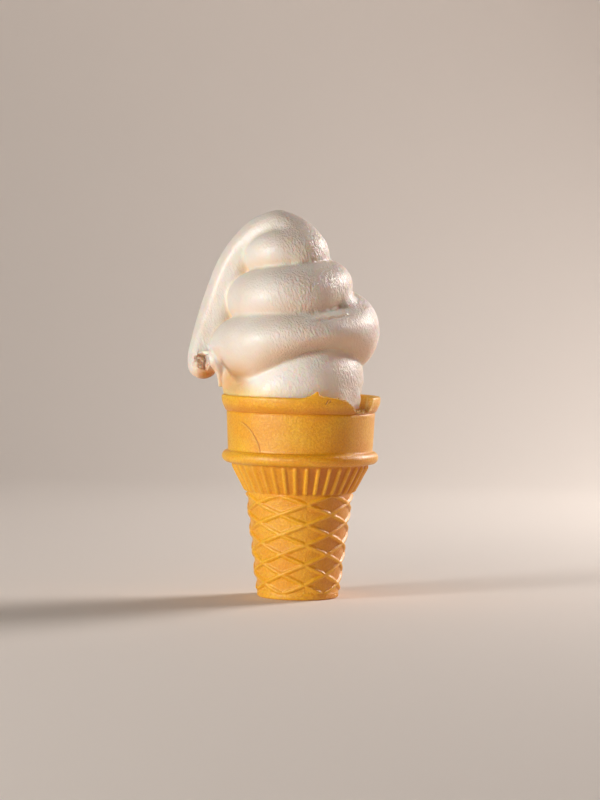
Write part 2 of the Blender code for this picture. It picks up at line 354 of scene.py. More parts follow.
def waferColumns():
    # azimuths from the front towards the right, closer together at the break, and for each
    # its outside top, inside top and share of break
    azimuths = list(np.arange(-180.0, 0.0, wafer["columnStep"]))
    azimuths += list(np.arange(0.0, wafer["breakEnd"], wafer["fineStep"]))
    stumpFace = np.linspace(0.0, 1.0, 10)
    azimuths += list(wafer["breakEnd"] + 1.3 * stumpFace)
    azimuths += list(np.arange(wafer["breakEnd"] + 2.0, 180.0, wafer["columnStep"]))
    azimuths = np.array(azimuths)
    knots = [azimuth for azimuth, _ in wafer["lipBreak"]]
    levels = [level for _, level in wafer["lipBreak"]]
    rim = wafer["rimHeight"]
    outside = np.full(len(azimuths), rim)
    broken = (azimuths > knots[0]) & (azimuths <= knots[-1])
    outside[broken] = np.interp(azimuths[broken], knots, levels)
    cracked = (azimuths > wafer["breakStart"]) & (azimuths <= wafer["breakEnd"])
    rough = ripple(3, 9, azimuths, 0.15, 1.1)
    outside[cracked] += 0.55 * rough[cracked]
    share = np.clip((rim - outside) / (rim - levels[-2]), 0.0, 1.0)
    stump = (azimuths > wafer["breakEnd"]) & (azimuths < wafer["breakEnd"] + 1.35)
    rise = np.clip((azimuths[stump] - wafer["breakEnd"]) / 1.3, 0.0, 1.0)
    outside[stump] = levels[-1] + (rim - levels[-1]) * rise**0.45
    share[stump] = np.maximum(1.0 - rise * 1.0, 0.35 * (rise < 1.0))
    inside = outside + share * (1.9 + 0.5 * ripple(5, 6, azimuths, 0.1, 0.7)) - 0.1
    inside = np.minimum(inside, np.maximum(outside, rim))
    inside[stump] = outside[stump] + (1.0 - rise) * 1.6
    edged = np.clip(share * 6.0, 0.0, 1.0)
    edged[cracked] = np.maximum(edged[cracked], 0.7)
    return azimuths, outside, inside, edged


def spread(first, last, count):
    return [tuple(pair) for pair in np.linspace(first, last, count, endpoint=False)]


def waferProfile():
    # radius and level of the whole outside below the lip, from the foot up
    foot, edge = wafer["footRadius"], wafer["footRound"]
    points = [(foot - edge, 0.0)]
    for turn in np.radians(np.linspace(-72.0, 0.0, 5)):
        points.append((foot - edge + edge * math.cos(turn), edge + edge * math.sin(turn)))
    points += spread((foot, 1.2), (foot, wafer["footHeight"]), 3)
    base, taper = wafer["latticeRadius"], wafer["latticeTaper"]
    levels = np.linspace(wafer["footHeight"] + 0.1, wafer["latticeTop"], 116)
    for level in levels:
        fillet = max(0.0, 1.0 - (level - wafer["footHeight"]) / 0.5) ** 2
        points.append((base + taper * level + 0.35 * fillet, level))
    low = (wafer["shoulderRadius"] + 0.3, wafer["latticeTop"] + 0.3)
    points += spread(low, (wafer["shoulderTopRadius"], wafer["shoulderTop"] - 0.5), 26)
    points += [(wafer["shoulderTopRadius"] + 0.35, wafer["shoulderTop"] - 0.15)]
    for turn in np.radians(np.linspace(-118.0, 84.0, 22)):
        radius = wafer["beadCentre"] + wafer["beadRadius"] * math.cos(turn)
        points.append((radius, wafer["beadLevel"] + wafer["beadRadius"] * math.sin(turn)))
    points += spread(wafer["bandFoot"], wafer["bandTop"], 16)
    points += [wafer["bandTop"], (27.82, 70.0), (27.84, 70.14), (28.2, 70.26)]
    return points


def buildWaferMesh():
    azimuths, outside, inside, edged = waferColumns()
    turns = np.radians(azimuths)
    rows = [(np.full(len(turns), radius), np.full(len(turns), level)) for radius, level in waferProfile()]
    foot = wafer["lipProfile"][0][1]
    for share in np.linspace(0.0, 1.0, 15):
        # the lip's outside ends just under the rim, where its edge turns over
        level = foot + (outside - 0.75 * (1 - edged) - foot) * share
        rows.append((lipRadius(np.minimum(level, 75.5)), level))
    insideTop = insideRadius(np.minimum(inside, 75.7))
    outsideTop = lipRadius(np.minimum(outside, 75.5))
    for share in np.linspace(0.0, 1.0, 9)[1:]:
        # over the top: an even round on the whole rim, a rough slope where it is broken
        turn = math.pi * share
        middleRadius = (insideTop + outsideTop) / 2
        halfWidth = (outsideTop - insideTop) / 2
        whole = (middleRadius + halfWidth * math.cos(turn), outside - 0.75 + 0.75 * math.sin(turn))
        rough = (outsideTop + (insideTop - outsideTop) * share, outside + (inside - outside) * share)
        crumb = 0.28 * ripple(int(20 + 8 * share), 8, azimuths, 0.25, 1.6) * math.sin(turn)
        rows.append((
            whole[0] * (1 - edged) + rough[0] * edged,
            whole[1] * (1 - edged) + (rough[1] + crumb) * edged,
        ))
    for radius, level in wafer["insideProfile"][1:]:
        top = np.minimum(level, inside - 0.4)
        rows.append((np.where(level < inside - 0.4, radius, insideRadius(top)), top))
    points, faces = [], []
    for radius, level in rows:
        for r, z, turn in zip(radius, level, turns):
            points.append((r * math.sin(turn) * mm, -r * math.cos(turn) * mm, z * mm))
    count = len(turns)
    for row in range(len(rows) - 1):
        for column in range(count):
            after = (column + 1) % count
            faces.append((row * count + column, row * count + after, (row + 1) * count + after,
                          (row + 1) * count + column))
    points += [(0.0, 0.0, 0.0), (0.0, 0.0, rows[-1][1][0] * mm)]
    last = (len(rows) - 1) * count
    for column in range(count):
        after = (column + 1) % count
        faces.append((after, column, len(points) - 2))
        faces.append((last + column, last + after, len(points) - 1))
    mesh = meshOf("wafer_cup", points, faces)
    # mark the broken face, from the edge of the outside to the edge of the inside
    torn = np.zeros(len(points), np.float32)
    foot = len(waferProfile()) + 14
    for row in range(foot, foot + 9):
        torn[row * count:(row + 1) * count] = edged
    worn = np.clip(1.0 - (azimuths - wafer["breakEnd"]) / 11.0, 0.0, 1.0) * (azimuths > wafer["breakEnd"])
    for row in range(foot - 11, foot + 1):
        torn[row * count:(row + 1) * count] = np.maximum(torn[row * count:(row + 1) * count], 0.8 * worn)
    place = np.array(points)
    near = np.flatnonzero(torn > 0.05)
    for k in near:
        spot = Vector(place[k]) / mm
        wear = 0.30 * noiseAt.noise(spot * 0.55) + 0.12 * noiseAt.noise(spot * 1.5) + 0.10
        mesh.vertices[k].co *= 1.0 - torn[k] * wear * mm / spot.length / mm
    mesh.attributes.new("torn", "FLOAT", "POINT").data.foreach_set("value", torn)
    return mesh


def waferTree():
    # ribs, ridges, mould seam and grain as relief on the turned cup
    labels = ["ribHeight", "ribCrest", "ribSide", "ribPitch", "ribNode", "ribAzimuth", "ribStep", "latticeFoot",
              "latticeTop", "ridgeCount", "ridgeAzimuth", "ridgeHeight", "ridgeCrest", "ridgeSide", "shoulderTop",
              "rimHeight", "finish"]
    tree, wires = newTree("waferRelief", labels)
    kit = Wire(tree)
    place = kit.node("GeometryNodeInputPosition")
    millimetres = kit.node("ShaderNodeVectorMath", {"operation": "SCALE"}, {0: place, "Scale": 1.0 / mm})
    x = kit.node("ShaderNodeSeparateXYZ", {}, {0: millimetres}, output=0)
    y = kit.node("ShaderNodeSeparateXYZ", {}, {0: millimetres}, output=1)
    z = kit.node("ShaderNodeSeparateXYZ", {}, {0: millimetres}, output=2)
    radius = kit.math("SQRT", x * x + y * y)
    azimuth = kit.math("ARCTAN2", x, 0.0 - y) * (180.0 / math.pi)
    wobble = noise(kit, millimetres, 0.16, 1.0) - 0.5

    # two families of ribs cross on the lattice
    climb = (z - wires["ribNode"] + wobble * 0.5) / wires["ribPitch"]
    swing = (azimuth - wires["ribAzimuth"]) / (wires["ribStep"] * 2.0)
    slope = math.cos(math.radians(21.0))
    near = (climb - swing).wave() * wires["ribPitch"] * slope
    far = (climb + swing).wave() * wires["ribPitch"] * slope
    ribNear = 1.0 - near.step(wires["ribCrest"], wires["ribSide"])
    ribFar = 1.0 - far.step(wires["ribCrest"], wires["ribSide"])
    rib = kit.math("MAXIMUM", ribNear, ribFar * 0.9)
    onLattice = z.step(wires["latticeFoot"], wires["latticeFoot"] + 0.6)
    offLattice = 1.0 - z.step(wires["latticeTop"] - 0.5, wires["latticeTop"] + 0.3)
    ribs = rib * onLattice * offLattice * wires["ribHeight"]

    # ridges stand on the shoulder, with rounded lower ends
    phase = (azimuth - wires["ridgeAzimuth"]) * (wires["ridgeCount"] / 360.0)
    across = phase.wave() * radius * (2.0 * math.pi) / wires["ridgeCount"]
    start = wires["latticeTop"] + 0.25
    nose = (start + 1.0 - z).math("MAXIMUM", start + 1.0 - z, 0.0)
    reach = kit.math("SQRT", across * across + nose * nose)
    ridge = 1.0 - reach.step(wires["ridgeCrest"], wires["ridgeSide"])
    onShoulder = 1.0 - z.step(wires["shoulderTop"] - 1.6, wires["shoulderTop"] + 0.2)
    outer = radius.step(18.0, 18.4)
    worn = 1.0 - (azimuth + 46.0).math("ABSOLUTE", azimuth + 46.0).step(22.0, 46.0, 0.45, 0.0)
    ridges = ridge * onShoulder * outer * z.step(start - 0.4, start) * wires["ridgeHeight"] * worn

    # a faint seam where the two halves of the mould met
    seam = 1.0 - (azimuth - wires["ribAzimuth"]).math("ABSOLUTE", azimuth - wires["ribAzimuth"]).step(0.4, 1.4)
    patchy = noise(kit, millimetres, 0.22, 1.0).step(0.42, 0.60)
    seams = seam * onLattice * offLattice * patchy * 0.07

    grain = (noise(kit, millimetres, 0.9, 3.0, 0.6) - 0.5) * 0.10
    swell = (noise(kit, millimetres, 0.10, 1.0) - 0.5) * 0.35
    below = 1.0 - z.step(wires["rimHeight"] - 0.6, wires["rimHeight"])
    uneven = (grain + swell * z.step(2.0, 8.0)) * below * z.step(0.3, 1.5)
    relief = kit.math("MAXIMUM", ribs, seams) + ridges + uneven
    flat = kit.node("ShaderNodeCombineXYZ", {}, {0: x / radius, 1: y / radius})
    outward = kit.node("ShaderNodeVectorMath", {"operation": "SCALE"}, {0: flat, "Scale": relief * mm})
    inside = radius.math("LESS_THAN", radius, 0.5)
    side = kit.node("GeometryNodeInputNormal")
    facing = kit.node("ShaderNodeVectorMath", {"operation": "DOT_PRODUCT"}, {0: side, 1: flat}, output=1)
    chosen = facing.math("GREATER_THAN", facing, -0.35) - inside
    moved = kit.node("GeometryNodeSetPosition", {}, {"Geometry": wires["Geometry"], "Selection": chosen,
                                                     "Offset": outward})
    stored = kit.node("GeometryNodeStoreNamedAttribute", {"data_type": "FLOAT", "domain": "POINT"},
                      {"Geometry": moved, "Name": "crest", "Value": kit.math("MAXIMUM", ribs, ridges)})
    closeTree(tree, stored, wires["finish"])
    return tree


def waferFinish():
    finish = bpy.data.materials.new("bakedWafer")
    finish.use_nodes = True
    tree = finish.node_tree
    kit = Wire(tree)
    shader = tree.nodes["Principled BSDF"]
    place = kit.node("ShaderNodeTexCoord", {}, {}, output=3)
    x = kit.node("ShaderNodeSeparateXYZ", {}, {0: place}, output=0) / mm
    y = kit.node("ShaderNodeSeparateXYZ", {}, {0: place}, output=1) / mm
    z = kit.node("ShaderNodeSeparateXYZ", {}, {0: place}, output=2) / mm
    crest = kit.node("ShaderNodeAttribute", {"attribute_name": "crest"}, {}, output=2)
    torn = kit.node("ShaderNodeAttribute", {"attribute_name": "torn"}, {}, output=2)
    patches = noise(kit, place, 70.0, 3.0).step(0.35, 0.68)
    grain = noise(kit, place, 1250.0, 3.0, 0.65).step(0.36, 0.64)
    freckle = noise(kit, place, 520.0, 2.0).step(0.56, 0.70)
    specks = noise(kit, place, 2300.0, 1.0).step(0.58, 0.70)

    # a fine hair line curves down the front left of the band; besides its bump, one side is painted darker as shade
    # and the other paler as light
    across = kit.math("ARCTAN2", x, 0.0 - y) * wafer["hairRadius"]
    fromX, fromZ = across - wafer["hairMiddle"][0], z - wafer["hairMiddle"][1]
    away = kit.math("SQRT", fromX * fromX + fromZ * fromZ) - wafer["hairSize"]
    onBand = z.step(55.4, 56.4) * z.step(66.0, 67.4, 1.0, 0.0) * fromX.step(2.4, 4.4)
    hairShadedSide = away.math("ABSOLUTE", away - 0.16).step(0.14, 0.40, 1.0, 0.0) * onBand
    hairLitSide = away.math("ABSOLUTE", away + 0.26).step(0.10, 0.40, 1.0, 0.0) * onBand

    colour = mixColour(kit, patches, wafer["baked"], wafer["golden"])
    colour = mixColour(kit, z.step(36.0, 60.0, 0.22, 0.0), colour, wafer["toasted"])
    colour = mixColour(kit, z.step(1.0, 7.0, 0.6, 0.0), colour, wafer["golden"])
    colour = mixColour(kit, grain * 0.40, colour, wafer["brown"])
    colour = mixColour(kit, freckle * 0.22, colour, wafer["toasted"])
    colour = mixColour(kit, specks * 0.35, colour, wafer["pale"])
    # painted shade: the grooves between the flutes are painted brown, more on the right, where the shade falls
    onFlutes = z.step(39.4, 40.4) * z.step(49.6, 51.2, 1.0, 0.0)
    right = x.step(-14.0, 12.0, 0.25, 0.80)
    colour = mixColour(kit, onFlutes * crest.step(0.1, 0.8, 1.0, 0.0) * right, colour, wafer["brown"])
    # painted shade: the lattice's cells between the ribs are painted brown towards the shaded right
    cellShade = z.step(38.6, 39.6, 1.0, 0.0) * (1.0 - crest.step(0.1, 0.6)) * x.step(3.0, 14.0, 0.0, 0.45)
    colour = mixColour(kit, cellShade, colour, wafer["brown"])
    # painted light: the crests of the ribs and ridges are painted golden
    colour = mixColour(kit, (crest * 1.5).step(0.1, 0.9) * 0.30, colour, wafer["golden"])
    # painted shade on the lip's lower part, which leans out and faces down, and painted light on its top
    colour = mixColour(kit, z.step(69.4, 70.6) * z.step(70.6, 73.6, 1.0, 0.0) * 0.62, colour, wafer["brown"])
    colour = mixColour(kit, z.step(74.4, 76.0) * 0.45, colour, wafer["golden"])
    chips = noise(kit, place, 620.0, 3.0, 0.6).step(0.40, 0.56)
    colour = mixColour(kit, torn.step(0.0, 0.5) * (0.15 + 0.85 * chips), colour, wafer["crumb"])
    # a short cut leans across the lip, left of the break; besides its dent, it is painted dark as shade in the cut
    onLip = kit.math("ARCTAN2", x, 0.0 - y) * 29.0 - (z - 74.6) * 0.52 - wafer["nickAcross"]
    second = onLip - 1.05
    nick = onLip.math("ABSOLUTE", onLip).step(0.10, 0.34, 1.0, 0.0) * z.step(73.6, 74.4)
    nick = kit.math("MAXIMUM", nick, second.math("ABSOLUTE", second).step(0.08, 0.40, 0.8, 0.0) * z.step(74.2, 75.0))
    nick = nick * z.step(75.0, 75.8, 1.0, 0.0) * y.step(0.0, 1.0, 1.0, 0.0)
    colour = mixColour(kit, nick * 0.75, colour, (0.42, 0.15, 0.012, 1.0))
    # painted shade and painted light on the two sides of the hair line
    colour = mixColour(kit, hairShadedSide * 0.80, colour, wafer["brown"])
    colour = mixColour(kit, hairLitSide * 0.40, colour, wafer["pale"])
    pores = noise(kit, place, 1500.0, 2.0).step(0.50, 0.66)
    height = grain * 0.8 + noise(kit, place, 600.0, 2.0) * 0.9 + specks * 0.3 + noise(kit, place, 180.0, 2.0) * 2.6
    height = height - hairShadedSide * 2.4 + hairLitSide * 1.4 - torn * (pores * 2.5 - chips * 3.0) - nick * 4.0
    bump = kit.node("ShaderNodeBump", {}, {"Strength": 0.8, "Distance": 0.00011, "Height": height})
    tree.links.new(colour.socket, shader.inputs["Base Color"])
    tree.links.new((0.32 + 0.15 * grain + 0.30 * torn).socket, shader.inputs["Roughness"])
    tree.links.new(bump.socket, shader.inputs["Normal"])
    shader.inputs["Specular IOR Level"].default_value = 0.55
    shader.inputs["Coat Weight"].default_value = 0.16
    shader.inputs["Coat Roughness"].default_value = 0.30
    shader.inputs["Subsurface Weight"].default_value = 0.30
    shader.inputs["Subsurface Radius"].default_value = (1.0, 0.45, 0.12)
    shader.inputs["Subsurface Scale"].default_value = 0.0016
    return finish


def makeWafer():
    finish = waferFinish()
    sizes = {name: wafer[name] for name in wafer if isinstance(wafer[name], float)}
    sizes["latticeFoot"] = wafer["footHeight"] + 0.1
    sizes["finish"] = finish
    cup = runTree("wafer_cup", buildWaferMesh(), waferTree(), sizes)
    cup.data.shade_smooth()
    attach(cup, "root")
    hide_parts("wafer_cone")
    print("wafer cup made:", len(cup.data.polygons), "faces")
    return cup


makeWafer()


crumbs = {
    # azimuth from and to, share of the wall from and to, how many, smallest and largest radius
    "onLedge": (41.0, 61.0, 0.05, 0.75, 34, 0.24, 0.66),
    "onEdge": (25.0, 46.0, -0.05, 0.35, 30, 0.16, 0.36),
    "seed": 11,
    "uneven": 0.55,
    "light": (0.97, 0.74, 0.42, 1.0),
    "dark": (0.84, 0.42, 0.08, 1.0),
}


def crumbSpots():
    # places on the broken face, with a size for each
    draw = np.random.default_rng(crumbs["seed"])
    azimuths, outside, inside, _ = waferColumns()
    spots, sizes = [], []
    for first, last, outermost, innermost, count, smallest, largest in (crumbs["onLedge"], crumbs["onEdge"]):
        for _ in range(count):
            azimuth, share = draw.uniform(first, last), draw.uniform(outermost, innermost)
            size = draw.uniform(smallest, largest)
            low = np.interp(azimuth, azimuths, outside)
            high = np.interp(azimuth, azimuths, inside)
            outer, inner = lipRadius(min(low, 75.5)), insideRadius(min(high, 75.7))
            radius, level = outer + (inner - outer) * share, low + (high - low) * share + 0.25 * size
            turn = math.radians(azimuth)
            spots.append((radius * math.sin(turn) * mm, -radius * math.cos(turn) * mm, level * mm))
            sizes.append(size * mm)
    mesh = meshOf("crumbSpots", spots, [])
    mesh.attributes.new("size", "FLOAT", "POINT").data.foreach_set("value", sizes)
    return mesh


def crumbTree():
    # one knobbly crumb on every spot, each turned and sized for itself
    tree, wires = newTree("waferCrumbs", ["uneven", "seed", "finish"])
    kit = Wire(tree)
    ball = kit.node("GeometryNodeMeshIcoSphere", {}, {"Radius": 1.0, "Subdivisions": 3})
    index = kit.node("GeometryNodeInputIndex")
    size = kit.node("GeometryNodeInputNamedAttribute", {"data_type": "FLOAT"}, {"Name": "size"})
    turn = kit.node("FunctionNodeRandomValue", {"data_type": "FLOAT_VECTOR"},
                    {0: (0.0, 0.0, 0.0), 1: (6.28, 6.28, 6.28), "ID": index, "Seed": wires["seed"]})
    stretch = kit.node("FunctionNodeRandomValue", {"data_type": "FLOAT_VECTOR"},
                       {0: (0.65, 0.65, 0.5), 1: (1.25, 1.0, 0.9), "ID": index, "Seed": wires["seed"] + 1.0})
    scaled = kit.node("ShaderNodeVectorMath", {"operation": "SCALE"}, {0: stretch, "Scale": size})
    placed = kit.node("GeometryNodeInstanceOnPoints", {}, {"Points": wires["Geometry"], "Instance": ball,
                                                           "Rotation": turn, "Scale": scaled})
    real = kit.node("GeometryNodeRealizeInstances", {}, {"Geometry": placed})
    place = kit.node("GeometryNodeInputPosition")
    side = kit.node("GeometryNodeInputNormal")
    knobs = (noise(kit, place, 1600.0, 2.0, 0.6) - 0.5) * wires["uneven"] * mm
    push = kit.node("ShaderNodeVectorMath", {"operation": "SCALE"}, {0: side, "Scale": knobs})
    moved = kit.node("GeometryNodeSetPosition", {}, {"Geometry": real, "Offset": push})
    closeTree(tree, moved, wires["finish"])
    return tree


def makeCrumbs():
    finish = bpy.data.materials.new("waferCrumb")
    finish.use_nodes = True
    kit = Wire(finish.node_tree)
    shader = finish.node_tree.nodes["Principled BSDF"]
    place = kit.node("ShaderNodeTexCoord", {}, {}, output=3)
    grain = noise(kit, place, 1400.0, 3.0, 0.6).step(0.36, 0.64)
    colour = mixColour(kit, grain, crumbs["light"], crumbs["dark"])
    bump = kit.node("ShaderNodeBump", {}, {"Strength": 0.8, "Distance": 0.0001, "Height": grain})
    finish.node_tree.links.new(colour.socket, shader.inputs["Base Color"])
    finish.node_tree.links.new((0.5 + 0.2 * grain).socket, shader.inputs["Roughness"])
    finish.node_tree.links.new(bump.socket, shader.inputs["Normal"])
    shader.inputs["Subsurface Weight"].default_value = 0.3
    shader.inputs["Subsurface Radius"].default_value = (1.0, 0.45, 0.12)
    shader.inputs["Subsurface Scale"].default_value = 0.001
    values = {"uneven": crumbs["uneven"], "seed": float(crumbs["seed"]), "finish": finish}
    scatter = runTree("wafer_crumbs", crumbSpots(), crumbTree(), values)
    scatter.data.shade_smooth()
    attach(scatter, "root")
    print("crumbs made:", len(scatter.data.polygons), "faces")


makeCrumbs()


cream = {
    # azimuth from the left side on, counter-clockwise from above, reach from the leaning axis,
    # level of the widest place, height above it, depth below it, half width
    "rope": (
        (-90, 24.0, 60.0, 10.0, 10.0, 10.0),
        (0, 24.6, 67.0, 11.0, 11.0, 11.0),
        (90, 27.0, 80.0, 15.0, 15.0, 12.0),
        (180, 26.7, 83.0, 14.5, 14.5, 12.0),
        (270, 27.5, 86.5, 12.0, 12.0, 12.0),
        (325, 29.6, 90.0, 12.0, 12.5, 12.5),
        (360, 31.8, 93.5, 12.0, 13.8, 13.0),
        (385, 31.6, 95.0, 11.6, 14.8, 13.0),
        (405, 31.3, 96.2, 11.2, 14.8, 12.6),
        (425, 31.0, 97.2, 10.7, 12.4, 12.2),
        (465, 30.4, 99.8, 7.6, 6.5, 11.5),
        (500, 31.0, 101.1, 8.8, 7.2, 12.0),
        (540, 32.4, 100.8, 14.6, 15.2, 13.2),
        (630, 28.5, 106.0, 11.5, 11.5, 12.0),
        (720, 23.6, 111.8, 10.6, 10.6, 11.0),
        (810, 25.6, 113.2, 11.6, 11.6, 12.0),
        (900, 23.9, 117.7, 9.7, 9.6, 9.8),
        (990, 19.5, 121.5, 8.5, 8.5, 9.0),
        (1080, 16.2, 128.0, 8.5, 8.5, 9.0),
        (1170, 15.3, 130.0, 8.4, 8.5, 9.0),
        (1230, 14.2, 129.5, 8.0, 8.5, 8.0),
        (1290, 12.5, 129.5, 7.0, 8.0, 7.0),
    ),
    "keelAzimuth": 372.0,       # where the second turn's underside is cut away
    "keelSpan": 46.0,
    "keelPower": 1.25,
    "lean": ((60, -2.5), (84, -3.3), (97, -2.6), (113, -5.0), (130, -5.9), (140, -7.0)),
    # x, y, z and radius of the rope's last end, over the top and down the left side
    "tail": (
        (0.0, 2.0, 130.5, 8.4),
        (-2.7, 1.0, 134.0, 8.7),
        (-6.2, 0.5, 136.8, 8.6),
        (-10.5, 0.5, 137.4, 8.2),
        (-16.0, 2.5, 135.6, 7.4),
        (-21.0, 5.0, 131.3, 7.0),
        (-25.1, 6.8, 125.2, 7.1),
        (-28.6, 7.8, 117.2, 7.1),
        (-31.6, 7.8, 108.3, 7.0),
        (-34.6, 6.6, 99.3, 6.6),
        (-37.0, 4.2, 91.0, 6.0),
        (-37.3, 2.6, 87.2, 5.8),
    ),
    "tailDepth": 0.85,
    "tailRidges": (7, 0.16),    # faint lengthwise ridges left by the nozzle: count, height
    # the peeled edge of the torn end, which hangs down as a drip: x, y, z, radius
    "drip": (
        (-39.0, -2.0, 91.0, 0.7),
        (-37.2, -2.9, 91.7, 0.95),
        (-35.3, -3.5, 91.5, 1.45),
        (-33.7, -4.0, 90.3, 2.1),
        (-32.6, -4.3, 88.4, 2.4),
        (-31.6, -4.4, 86.3, 1.75),
        (-31.0, -4.4, 84.4, 1.25),
        (-30.8, -4.4, 82.4, 0.95),
        (-30.7, -4.3, 80.4, 0.8),
        (-30.6, -4.2, 79.2, 0.75),
    ),
    # the second turn's lower left corner, drawn down over the first
    "corner": (
        (-28.6, -8.5, 90.3, 2.1),
        (-26.8, -9.6, 88.0, 2.3),
        (-24.9, -10.4, 85.7, 2.3),
        (-23.4, -10.8, 83.9, 1.9),
        (-22.8, -10.9, 82.9, 1.2),
    ),
    # centre and radii of what fills the swirl out: between the last turn and the top, and low on the left
    "lobes": (
        ((-3.4, -0.5, 130.2), (13.5, 15.0, 10.6)),
        ((-3.0, -0.5, 134.0), (9.4, 11.0, 9.4)),
        ((-20.6, 1.0, 81.6), (9.8, 13.0, 10.5)),
        ((-21.5, 4.0, 88.0), (9.5, 12.0, 7.0)),
        ((-29.3, -1.6, 85.8), (3.0, 3.4, 6.0)),
        ((10.4, -14.4, 74.0), (8.2, 8.2, 8.5)),
        ((14.6, -8.0, 75.4), (7.8, 8.0, 7.8)),
        ((15.0, -10.5, 68.6), (8.8, 8.8, 3.6)),
        ((13.4, -7.5, 111.6), (6.2, 6.4, 5.6)),
    ),
    # centre x, radius and level of the body behind the turns and of the plug in the cup
    "core": (
        (0.0, 12.7, 2.6),
        (0.0, 13.1, 3.4),
        (0.0, 16.9, 38.4),
        (0.0, 24.1, 51.2),
        (0.0, 25.0, 56.0),
        (0.0, 25.2, 62.0),
        (-2.0, 24.8, 67.0),
        (-3.6, 25.7, 72.0),
        (-4.4, 25.0, 77.0),
        (-5.0, 20.5, 88.0),
        (-3.0, 18.0, 104.0),
        (-5.0, 12.0, 118.0),
        (-6.0, 7.0, 130.0),
    ),
    "crownCalm": (-10.0, -2.0, 127.0, 131.0, 0.9),    # from and to in x, from and to in z, strength
    # centre, radii and strength of other places that are blended smooth
    "calm": (
        ((18.5, -9.5, 111.3), (5.5, 9.0, 5.0), 0.85),
        ((15.0, -17.0, 75.5), (13.0, 11.0, 8.0), 0.8),
    ),
    "calmRounds": 60,
    "gap": 0.3,
    "voxel": 0.66,
    "plugTop": 72.0,            # below this the plug is hidden, and its mesh is thinned
    "plugKept": 0.12,
    # the hollow in the tail's torn end: middle x and z, half width and height, depth, and its deep channel
    "tornMiddle": (-37.9, 88.2),
    "tornSize": (3.2, 3.6),
    "tornDepth": 2.3,
    "tornChannel": ((-38.8, 90.6), (-36.9, 90.0), (-36.3, 88.8), (-36.9, 87.2), (-36.5, 85.9)),
    "tornReach": 8.5,
    # a thin skin peels off along the second turn's front: x and z along it, height, half width
    "peel": ((0.9, 105.5), (5.0, 105.7), (9.4, 106.2), (14.9, 107.15), (18.2, 107.85)),
    "peelSize": (0.75, 0.42),
    "peelReach": 2.4,
    # where the second turn folds under at its lower left: x and z along the fold
    "fold": ((-30.2, 89.1), (-29.2, 87.8), (-27.8, 86.1), (-26.4, 84.5), (-25.2, 83.4), (-23.6, 82.6),
             (-21.6, 82.6), (-19.6, 83.5)),
    "foldDepth": 1.3,
}


def tubeFaces(rings, sides, offset):
    faces = []
    for ring in range(rings - 1):
        for side in range(sides):
            after = (side + 1) % sides
            near, far = offset + ring * sides, offset + (ring + 1) * sides
            faces.append((near + side, near + after, far + after, far + side))
    faces.append(tuple(offset + side for side in range(sides))[::-1])
    faces.append(tuple(offset + (rings - 1) * sides + side for side in range(sides)))
    return faces


def leanAt(level):
    return np.interp(level, [z for z, _ in cream["lean"]], [x for _, x in cream["lean"]])


def ropeRings():
    table = np.array(cream["rope"], float)
    azimuths = np.arange(table[0, 0], table[-1, 0] + 0.5, 2.5)
    reach, level, rise, drop, width = [smoothCurve(table[:, 0], table[:, k], azimuths) for k in range(1, 6)]
    around = np.linspace(0, 2 * math.pi, 64, endpoint=False)
    rings = []
    for k, azimuth in enumerate(azimuths):
        turn = math.radians(180.0 + azimuth)
        away = min(1.0, abs(azimuth - cream["keelAzimuth"]) / cream["keelSpan"])
        power = cream["keelPower"] + (2.0 - cream["keelPower"]) * away * away * (3 - 2 * away)
        powers = np.where(np.sin(around) < 0, power, 2.0)
        out = np.sign(np.cos(around)) * np.abs(np.cos(around)) ** (2.0 / powers)
        up = np.sign(np.sin(around)) * np.abs(np.sin(around)) ** (2.0 / powers)
        radius = reach[k] - width[k] + width[k] * out
        height = level[k] + np.where(up > 0, rise[k], drop[k]) * up
        x = leanAt(level[k]) + radius * math.cos(turn)
        rings.append(np.stack([x, radius * math.sin(turn), height], 1))
    return rings


def pathRings(table, sides, steps, depthShare, roundEnds, ridges=(1, 0.0)):
    table = np.array(table, float)
    knots = np.arange(len(table))
    at = np.linspace(0, len(table) - 1, (len(table) - 1) * steps + 1)
    path = np.stack([smoothCurve(knots, table[:, k], at) for k in range(3)], 1)
    radii = smoothCurve(knots, table[:, 3], at)
    for end in roundEnds:
        tip, ahead = (path[-1], path[-1] - path[-2]) if end else (path[0], path[0] - path[1])
        ahead = ahead / np.linalg.norm(ahead)
        size = radii[-1] if end else radii[0]
        for turn in np.linspace(0.15, 1.48, 7):
            point = tip + ahead * size * math.sin(turn)
            if end:
                path = np.vstack([path, point])
                radii = np.append(radii, size * math.cos(turn))
            else:
                path = np.vstack([point, path])
                radii = np.append(size * math.cos(turn), radii)
    tangents = np.gradient(path, axis=0)
    tangents /= np.linalg.norm(tangents, axis=1)[:, None]
    around = np.linspace(0, 2 * math.pi, sides, endpoint=False)
    rings = []
    for point, tangent, radius in zip(path, tangents, radii):
        depth = np.array((0.0, 1.0, 0.0)) - tangent[1] * tangent
        depth /= np.linalg.norm(depth)
        side = np.cross(depth, tangent)
        reach = (radius + ridges[1] * np.cos(ridges[0] * around))[:, None]
        rings.append(point + reach * (np.cos(around)[:, None] * side + depthShare * np.sin(around)[:, None] * depth))
    return rings


def lobeRings(middle, radii):
    around = np.linspace(0, 2 * math.pi, 48, endpoint=False)
    rings = []
    for turn in np.linspace(-1.5, 1.5, 24):
        x = middle[0] + radii[0] * math.cos(turn) * np.cos(around)
        y = middle[1] + radii[1] * math.cos(turn) * np.sin(around)
        rings.append(np.stack([x, y, np.full(48, middle[2] + radii[2] * math.sin(turn))], 1))
    return rings


def coreRings():
    around = np.linspace(0, 2 * math.pi, 96, endpoint=False)
    rings = []
    for centre, radius, level in cream["core"]:
        rings.append(np.stack([centre + radius * np.cos(around), radius * np.sin(around), np.full(96, level)], 1))
    return rings


